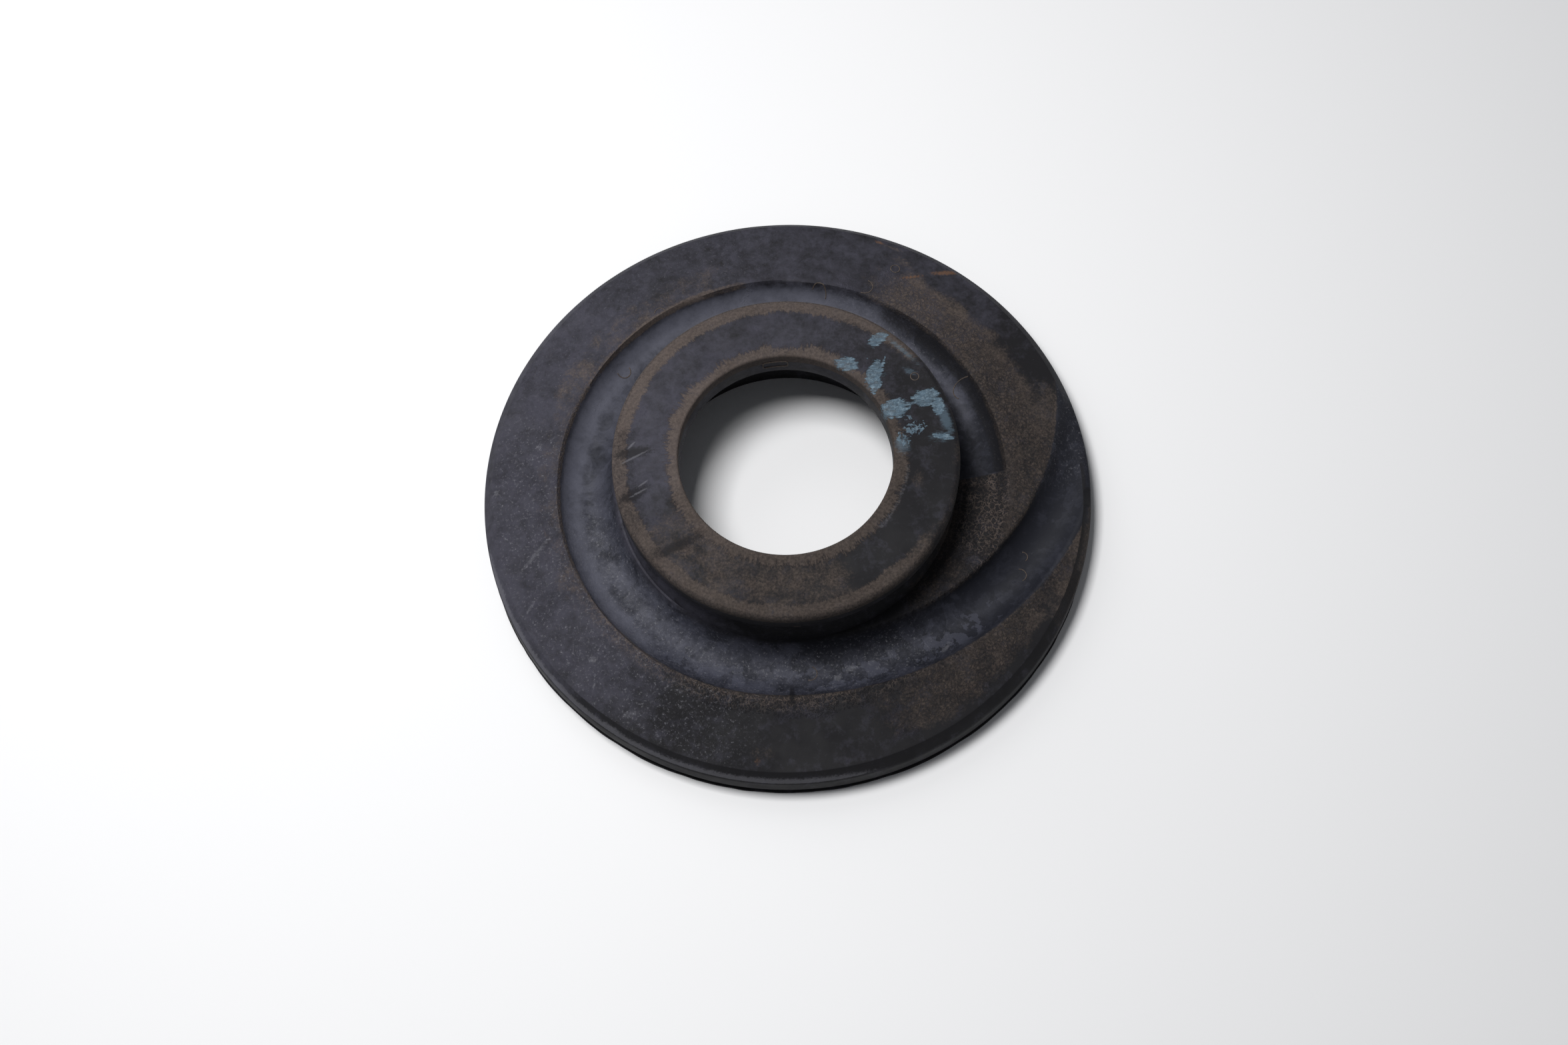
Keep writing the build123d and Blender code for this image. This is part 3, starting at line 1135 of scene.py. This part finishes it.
# %% Marking paint
BRUSH_TURN = (0, 0, math.radians(-60))
BRUSH_STRETCH = (0.45, 1.5, 1)
inputs = {"Vector": place, "Rotation": BRUSH_TURN, "Scale": BRUSH_STRETCH}
brushed = add_node(tree, "Mapping", inputs)
bristles = cloud(brushed.outputs[0], 1, 6, 0.8, 0.3)
broken = swing(bristles, 1.9)
paint_on = torn("paint", broken, 0.5, 0.62)
smear_on = torn("smear", broken, 0.35, 0.9)
drops = cloud(place, 1.3, 3, 0.6, 0.4)
drops_on = fade(times(painted("spatter"), drops), 0.46, 0.51)
paint_on = times(paint_on, fade(bristles, 0.36, 0.6, 0.4, 1))
paint_on = calc("MAXIMUM", paint_on, times(drops_on, 0.8))
daub = blend(fade(powder, 0.45, 0.7), PAINT_BLUE, PAINT_PALE)
colour = blend(smear_on, colour, PAINT_BLUE, cover=0.5)
colour = blend(paint_on, colour, daub, cover=0.92)
print(len(tree.nodes), "nodes so far")

# %% [markdown]
# ### Gloss and relief
# Rubber is dull, satin where the mask shine marks what the wire polished, and duller under film and paint.
# The relief adds up grain, the net of cracks, and the thickness of film, paint and powder, in millimetres.

# %% Gloss and relief
RUBBER_SPECULAR = 0.24


def finish_shader(tree, shader, colour, rough, relief):
    """Joins colour, roughness and relief in millimetres to the shader."""
    bump = add_node(tree, "Bump", {"Height": relief, "Strength": 1.0, "Distance": MM})
    fill(tree, shader, {"Base Color": colour, "Roughness": rough, "Normal": bump.outputs["Normal"]})
    shader.inputs["Specular IOR Level"].default_value = RUBBER_SPECULAR


rough = fade(skin.outputs["Gloss"], 0.3, 0.7, 0.66, 0.8)
satin = plus(fade(patch, 0.44, 0.6, 0.16, 0.32), fade(powder, 0.42, 0.6, -0.08, 0.12))
satin = times(painted("shine"), satin)
rough = minus(rough, satin)
rough = plus(rough, times(film_mask, 0.15))
rough = plus(rough, times(paint_on, 0.1), clamp=True)
relief = times(skin.outputs["Height"], 0.035)
relief = plus(relief, times(times(net.outputs["Height"], crazing_on), 0.1))
for layer, thickness in (
    (film.outputs["Mask"], 0.03),
    (paint_on, 0.05),
    (times(specks_and_glints_mask, powder), 0.16),
):
    relief = plus(relief, times(layer, thickness))
finish_shader(tree, shader, colour, rough, relief)
pad.data.materials.clear()
pad.data.materials.append(rubber)
print("rubber has", len(tree.nodes), "nodes")

# %% [markdown]
# ## Rings left by the mould
# A rubber mould has small vents and inserts, and each leaves a thin ring of raised rubber. Each ring is a
# slim torus. Where the real one is half worn off, bisect cuts the torus down to an arc. The rings are then
# draped: every point is lifted by the height of the surface under it, so a ring follows the channel's
# curve. They are joined into one piece.

# %% Mould rings
RING_WIRE = 0.13
RING_MARKS = [
    # x, y, ring radius, direction of the arc's middle, how much of the ring is left (1 is all of it)
    (30.1, 58.3, 1.15, 0, 1.0),
    (21.9, 52.7, 2.1, -30, 0.5),
    (10.2, 52.2, 1.9, 60, 0.45),
    (45.2, 24.5, 2.4, 150, 0.5),
    (31.9, 19.0, 1.0, 0, 1.0),
    (-39.9, 34.0, 1.7, -60, 0.55),
    (-30.2, 47.8, 1.3, 100, 0.5),
    (3.5, -48.0, 1.7, -20, 0.5),
    (55.5, -25.3, 1.6, 10, 0.45),
    (56.7, -20.6, 1.1, 20, 0.4),
]
NECK_MARK = (0.7, -(WAIST_R + 0.12), 20.6)
NECK_MARK_R = 1.5
NECK_MARK_WIRE = 0.16


def surface_height(x, y):
    """Height of the pad's upper side under a point, from the collar to the flange."""
    r = np.hypot(x, y)
    slope = (BEVEL_TOP[1] - PLATEAU[1]) / (BEVEL_TOP[0] - PLATEAU[0])
    flange_z = PLATEAU[1] + slope * np.clip(r - PLATEAU[0], 0.0, None)
    wrap, leave = from_wire(x, y)
    flange_z = pressed_height(x, y, flange_z, wrap, leave, past_stop(x, y))
    collar_z = COLLAR_EDGE_Z + (TOTAL_H - COLLAR_EDGE_Z) * (COLLAR_R - r) / (COLLAR_R - BORE_R)
    return np.where(r < COLLAR_R, collar_z, flange_z) - WAVE_HEIGHT


def add_torus(place, ring_r, wire_r, tilt=0.0):
    """A slim torus, with nothing else selected."""
    select_nothing()
    bpy.ops.mesh.primitive_torus_add(
        location=[c * MM for c in place],
        rotation=(math.radians(tilt), 0.0, 0.0),
        major_radius=ring_r * MM,
        minor_radius=wire_r * MM,
        major_segments=40,
        minor_segments=8,
    )
    return bpy.context.active_object


def add_ring_mark(number, x, y, ring_r, facing, left):
    """A slim torus, cut to an arc and draped over the surface."""
    ring = add_torus((x, y, 0.0), ring_r, RING_WIRE)
    ring.name = ring.data.name = f"mould_ring_{number}"
    if left < 1.0:
        a = math.radians(facing)
        toward = Vector((math.cos(a), math.sin(a), 0.0))
        cut_at = Vector((x, y, 0.0)) * MM + toward * ring_r * MM * (1.0 - 2.0 * left)
        edit_all()
        bpy.ops.mesh.bisect(plane_co=cut_at, plane_no=toward, clear_inner=True, use_fill=True)
    settle()
    points = read_points(ring)
    points[:, 2] += surface_height(points[:, 0], points[:, 1])
    write_points(ring, points)
    return ring


rings = [add_ring_mark(n, *mark) for n, mark in enumerate(RING_MARKS, 1)]
print(len(rings), "rings draped")

# %% Ring on the neck, and one piece out of all of them
rings.append(add_torus(NECK_MARK, NECK_MARK_R, NECK_MARK_WIRE, tilt=90.0))
select_nothing()
for ring in rings:
    ring.select_set(True)
bpy.context.view_layer.objects.active = rings[0]
bpy.ops.object.join()
mould_rings = bpy.context.active_object
mould_rings.name = mould_rings.data.name = "mould_rings"
settle()
bpy.ops.object.shade_smooth()
print("joined rings:", len(mould_rings.data.polygons), "faces")

# %% [markdown]
# ## Mark on the bore's wall
# A slot-shaped insert was set in the mould's core, and its outline stands on the bore's wall as a thin
# ridge. It starts as a flat plate whose corners are beveled. The plate is inset, its middle is deleted to
# leave a frame, and the frame is extruded to a ridge and then wrapped onto the bore.

# %% Bore mark
MARK_SIZE = (6.4, 2.8)
MARK_TURN = 93.5
MARK_Z = 25.6
MARK_CORNER = 0.9
MARK_LINE = 0.28
MARK_RIDGE = 0.3
MARK_SUNK = 0.12


def add_bore_mark():
    """A rounded rectangular frame, raised from the bore's wall."""
    select_nothing()
    bpy.ops.mesh.primitive_plane_add(size=MM)
    mark = bpy.context.active_object
    mark.name = mark.data.name = "bore_mark"
    mark.scale = (MARK_SIZE[0], MARK_SIZE[1], 1.0)
    settle()
    edit_all()
    bpy.ops.mesh.bevel(offset=MARK_CORNER * MM, segments=5, affect="VERTICES")
    bpy.ops.mesh.inset(thickness=MARK_LINE * MM)
    bpy.ops.mesh.delete(type="ONLY_FACE")
    bpy.ops.mesh.select_all(action="SELECT")
    bpy.ops.mesh.subdivide(number_cuts=3)
    bpy.ops.mesh.extrude_region_move(TRANSFORM_OT_translate={"value": (0, 0, MARK_RIDGE * MM)})
    bpy.ops.mesh.select_all(action="SELECT")
    bpy.ops.mesh.normals_make_consistent(inside=False)
    bpy.ops.object.mode_set(mode="OBJECT")
    flat = read_points(mark)
    turn = math.radians(MARK_TURN) - flat[:, 0] / BORE_R
    depth = BORE_R + MARK_SUNK - flat[:, 2]
    wrapped = np.stack([depth * np.cos(turn), depth * np.sin(turn), MARK_Z + flat[:, 1]], axis=1)
    write_points(mark, wrapped)
    return mark


bore_mark = add_bore_mark()
print("bore mark has", len(bore_mark.data.polygons), "faces")

# %% [markdown]
# ## Rubber of the raised marks
# The raised marks are rubbed by everything that passes, so dust and bloom catch on them first. They
# use the same grain and bloom groups, with paler values.

# %% Mark material
MARK_RUBBER = (0.0300, 0.0290, 0.0320, 1)


def make_mark_rubber():
    """Rubber with pale bloom, for thin raised lines."""
    material, tree, shader = new_material("raised_mark_rubber")
    place = place_in_mm(tree)
    film = use_group(bloom_group, Place=place, Amount=0.75, Dust=0.5, Pale=BLOOM_PALE, Deep=BLOOM_DEEP)
    skin = use_group(grain, Place=place, Dust=0.6)
    colour = blend(film.outputs["Mask"], MARK_RUBBER, film.outputs["Color"])
    colour = blend(skin.outputs["Specks"], colour, PALE_DUST_AND_LIGHT, cover=0.4)
    rough = fade(skin.outputs["Gloss"], 0.3, 0.7, 0.62, 0.8)
    relief = times(skin.outputs["Height"], 0.03)
    finish_shader(tree, shader, colour, rough, relief)
    return material


mark_rubber = make_mark_rubber()
for mark in (mould_rings, bore_mark):
    mark.data.materials.clear()
    mark.data.materials.append(mark_rubber)
print("marks finished")

# %% [markdown]
# ## Joining the piece to the frame
# The new piece stands for the CAD node, which stays for collision. It rides on the one body, root.

# %% Ride and replace
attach(pad, "root")
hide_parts("spring_seat_pad")
for mark in (mould_rings, bore_mark):
    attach(mark, "root")

# %% [markdown]
# ## Floor and light
# The pad lies on a white table under one large soft light, high and a little to the left, with a bright
# room all round. The shadows are short and soft, and the floor dims gently towards the lower right.

# %% Floor
FLOOR_SIZE = 6.0
TABLE_WHITE = (0.86, 0.865, 0.88, 1)
select_nothing()
bpy.ops.mesh.primitive_plane_add(size=FLOOR_SIZE, location=(0, 0, 0))
floor = bpy.context.active_object
floor.name = "floor"
paper, paper_tree, paper_shader = new_material("white_table")
fill(paper_tree, paper_shader, {"Base Color": TABLE_WHITE, "Roughness": 0.75})
floor.data.materials.append(paper)

# %% Light
KEY_PLACE = Vector((-0.165, 0.042, 0.63))
KEY_SIZE = 0.22
KEY_POWER = 3.85
FILL_PLACE = Vector((-0.34, 0.42, 0.42))
FILL_SIZE = 0.5
FILL_POWER = 1.05
ROOM = 0.15
LAMP_WHITE = (1.0, 0.995, 0.985)
ROOM_WHITE = (0.94, 0.96, 1.0, 1)


def add_panel(name, place, size, power):
    """A square soft light that faces the pad."""
    lamp = bpy.data.lights.new(name, "AREA")
    lamp.size = size
    lamp.energy = power
    lamp.color = LAMP_WHITE
    panel = bpy.data.objects.new(name, lamp)
    panel.matrix_world = Matrix.Translation(place) @ place.to_track_quat("Z", "Y").to_matrix().to_4x4()
    bpy.context.scene.collection.objects.link(panel)


def add_light():
    """A soft light overhead, a weaker one behind and to the left, and an even room."""
    add_panel("softbox", KEY_PLACE, KEY_SIZE, KEY_POWER)
    add_panel("window", FILL_PLACE, FILL_SIZE, FILL_POWER)
    world = bpy.data.worlds.new("room")
    world.use_nodes = True
    fill(world.node_tree, world.node_tree.nodes["Background"], {"Color": ROOM_WHITE, "Strength": ROOM})
    bpy.context.scene.world = world


add_light()
bpy.context.scene.view_settings.view_transform = "Standard"
print("key light", round(KEY_PLACE.length, 2), "m away")
